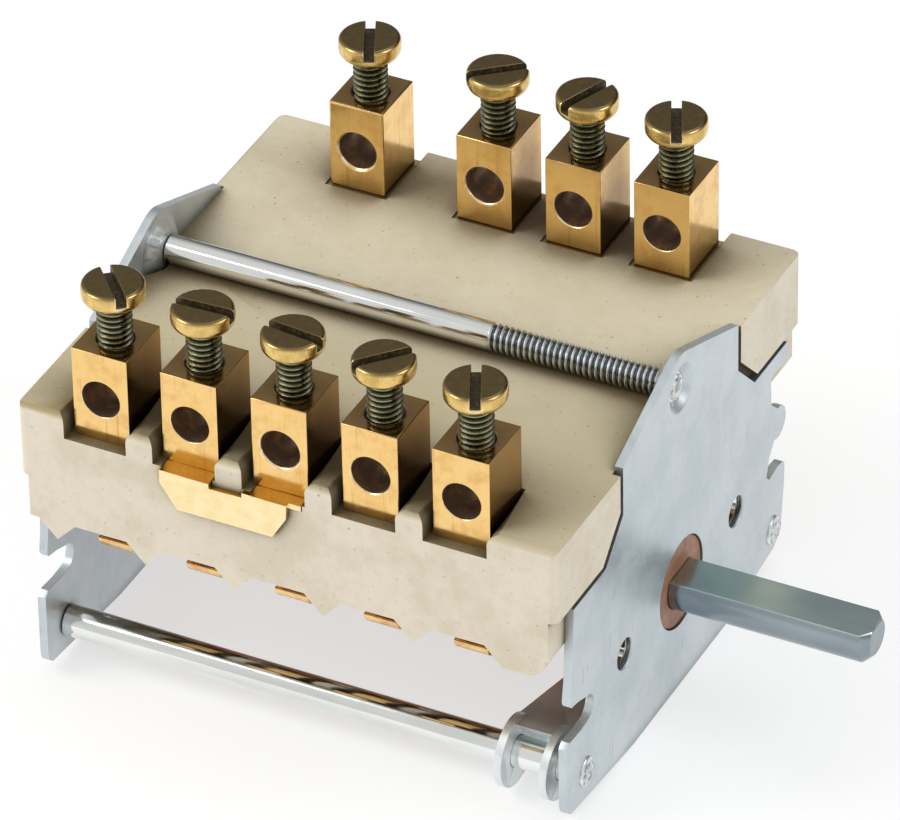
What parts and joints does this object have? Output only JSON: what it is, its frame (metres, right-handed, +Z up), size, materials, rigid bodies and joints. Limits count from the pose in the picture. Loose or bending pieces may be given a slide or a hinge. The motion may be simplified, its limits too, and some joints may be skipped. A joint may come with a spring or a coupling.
{
  "type": "rotary cam switch",
  "caption": "Rotary cam switch with a one-piece ceramic body between two steel plates, brass screw terminals on top, a flatted spindle and a sprung detent.",
  "frame": {"origin": "on the spindle axis, at the outer face of the front plate", "axes": "+X out along the spindle, +Y towards the rear terminal row, +Z up"},
  "size_m": [0.0867, 0.0617, 0.0555],
  "materials": {
    "steatite": "unglazed, matt, cream with fine brown specks",
    "zinc_sheet": "zinc plated, satin, lightly scratched",
    "bright_steel": "bright plated, drawn",
    "zinc_spindle": "zinc plated, soft edges",
    "lever_steel": "zinc plated sheet",
    "spring_steel": "spring wire",
    "phenolic": "moulded phenolic, brown",
    "strap_brass": "bright sheet",
    "block_brass": "sawn and milled, lightly tarnished",
    "screw_brass": "turned, olive tarnish",
    "contact_brass": "spring strip",
    "silver": "silver contact rivets"
  },
  "bodies": {
    "frame": {"ceramic_base": "steatite", "front_plate": "zinc_sheet", "rear_plate": "zinc_sheet", "top_tie_rod": "bright_steel", "front_tie_rod": "bright_steel", "rear_tie_rod": "bright_steel", "jumper_strap": "strap_brass", "fixed_contacts": "silver", "detent_spring": "spring_steel", "front_terminal_1": "block_brass", "front_terminal_2": "block_brass", "front_terminal_3": "block_brass", "front_terminal_4": "block_brass", "front_terminal_5": "block_brass", "rear_terminal_1": "block_brass", "rear_terminal_2": "block_brass", "rear_terminal_3": "block_brass", "rear_terminal_4": "block_brass", "front_strip_1": "contact_brass", "front_strip_2": "contact_brass", "front_strip_3": "contact_brass", "front_strip_4": "contact_brass", "front_strip_5": "contact_brass", "rear_strip_1": "contact_brass", "rear_strip_2": "contact_brass", "rear_strip_3": "contact_brass", "rear_strip_4": "contact_brass"},
    "camshaft": {"cam_barrel": "phenolic", "spindle": "zinc_spindle"},
    "lever": {"detent_lever": "lever_steel", "roller_pin": "bright_steel"},
    "roller": {"detent_roller": "bright_steel"},
    "arm_1": {"contact_arm_1": "contact_brass", "moving_contact_1": "silver"},
    "arm_2": {"contact_arm_2": "contact_brass", "moving_contact_2": "silver"},
    "arm_3": {"contact_arm_3": "contact_brass", "moving_contact_3": "silver"},
    "arm_4": {"contact_arm_4": "contact_brass", "moving_contact_4": "silver"},
    "arm_5": {"contact_arm_5": "contact_brass", "moving_contact_5": "silver"},
    "front_clamp_1": {"front_screw_1": "screw_brass"},
    "front_clamp_2": {"front_screw_2": "screw_brass"},
    "front_clamp_3": {"front_screw_3": "screw_brass"},
    "front_clamp_4": {"front_screw_4": "screw_brass"},
    "front_clamp_5": {"front_screw_5": "screw_brass"},
    "rear_clamp_1": {"rear_screw_1": "screw_brass"},
    "rear_clamp_2": {"rear_screw_2": "screw_brass"},
    "rear_clamp_3": {"rear_screw_3": "screw_brass"},
    "rear_clamp_4": {"rear_screw_4": "screw_brass"}
  },
  "joints": [
    {"name": "spindle_turn", "type": "hinge", "parent": "frame", "child": "camshaft", "pos_m": [0, 0, 0], "axis": [1, 0, 0], "continuous": true},
    {"name": "lever_swing", "type": "hinge", "parent": "frame", "child": "lever", "pos_m": [-0.008, -0.02365, -0.0089], "axis": [-1, 0, 0], "range_deg": [0, 1.25], "stiffness_Nm_per_rad": 0.02, "springref_deg": -17.19},
    {"name": "roller_spin", "type": "hinge", "parent": "lever", "child": "roller", "pos_m": [-0.0059, -0.00075, -0.01027], "axis": [1, 0, 0], "continuous": true},
    {"name": "arm_1_lift", "type": "hinge", "parent": "frame", "child": "arm_1", "pos_m": [-0.0539, -0.0258, 0.007], "axis": [1, 0, 0], "range_deg": [0, 3.8], "stiffness_Nm_per_rad": 0.05, "springref_deg": -2.86},
    {"name": "arm_2_lift", "type": "hinge", "parent": "frame", "child": "arm_2", "pos_m": [-0.0433, -0.0258, 0.007], "axis": [1, 0, 0], "range_deg": [0, 3.8], "stiffness_Nm_per_rad": 0.05, "springref_deg": -2.86},
    {"name": "arm_3_lift", "type": "hinge", "parent": "frame", "child": "arm_3", "pos_m": [-0.0327, -0.0258, 0.007], "axis": [1, 0, 0], "range_deg": [0, 3.8], "stiffness_Nm_per_rad": 0.05, "springref_deg": -2.86},
    {"name": "arm_4_lift", "type": "hinge", "parent": "frame", "child": "arm_4", "pos_m": [-0.0221, -0.0258, 0.007], "axis": [1, 0, 0], "range_deg": [0, 3.8], "stiffness_Nm_per_rad": 0.05, "springref_deg": -2.86},
    {"name": "arm_5_lift", "type": "hinge", "parent": "frame", "child": "arm_5", "pos_m": [-0.0115, -0.0258, 0.007], "axis": [1, 0, 0], "range_deg": [0, 3.8], "stiffness_Nm_per_rad": 0.05, "springref_deg": -2.86},
    {"name": "front_clamp_1_travel", "type": "slide", "parent": "frame", "child": "front_clamp_1", "axis": [0, 0, 1], "range_m": [-0.0038, 0.0015]},
    {"name": "front_clamp_2_travel", "type": "slide", "parent": "frame", "child": "front_clamp_2", "axis": [0, 0, 1], "range_m": [-0.0038, 0.0015]},
    {"name": "front_clamp_3_travel", "type": "slide", "parent": "frame", "child": "front_clamp_3", "axis": [0, 0, 1], "range_m": [-0.0038, 0.0015]},
    {"name": "front_clamp_4_travel", "type": "slide", "parent": "frame", "child": "front_clamp_4", "axis": [0, 0, 1], "range_m": [-0.0038, 0.0015]},
    {"name": "front_clamp_5_travel", "type": "slide", "parent": "frame", "child": "front_clamp_5", "axis": [0, 0, 1], "range_m": [-0.0038, 0.0015]},
    {"name": "rear_clamp_1_travel", "type": "slide", "parent": "frame", "child": "rear_clamp_1", "axis": [0, 0, 1], "range_m": [-0.0038, 0.0015]},
    {"name": "rear_clamp_2_travel", "type": "slide", "parent": "frame", "child": "rear_clamp_2", "axis": [0, 0, 1], "range_m": [-0.0038, 0.0015]},
    {"name": "rear_clamp_3_travel", "type": "slide", "parent": "frame", "child": "rear_clamp_3", "axis": [0, 0, 1], "range_m": [-0.0038, 0.0015]},
    {"name": "rear_clamp_4_travel", "type": "slide", "parent": "frame", "child": "rear_clamp_4", "axis": [0, 0, 1], "range_m": [-0.0038, 0.0015]}
  ]
}
